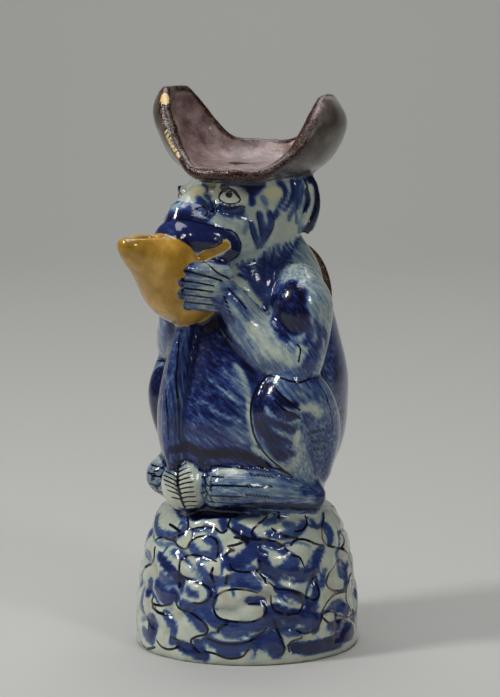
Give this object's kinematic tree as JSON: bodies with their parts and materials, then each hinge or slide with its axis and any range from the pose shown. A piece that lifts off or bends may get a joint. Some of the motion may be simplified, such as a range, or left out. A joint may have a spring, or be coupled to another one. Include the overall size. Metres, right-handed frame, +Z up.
{
  "type": "figural monkey jug",
  "caption": "Hollow glazed earthenware jug shaped as a seated monkey in a dished hat, drinking from a shell spout, on a round rockwork plinth.",
  "frame": {"origin": "centre of the flat underside of the plinth, the face it stands on", "axes": "+Z up along the seated figure, -Y towards the monkey's face and the shell's tip, +X towards the monkey's left hand"},
  "size_m": [0.0877, 0.111, 0.216],
  "materials": {
    "tin_glaze": "glossy tin glaze on fired earthenware, white with cobalt blue brushwork, manganese brown hat and handle, ochre shell"
  },
  "bodies": {
    "root": {"monkey_jug": "tin_glaze"}
  },
  "joints": []
}
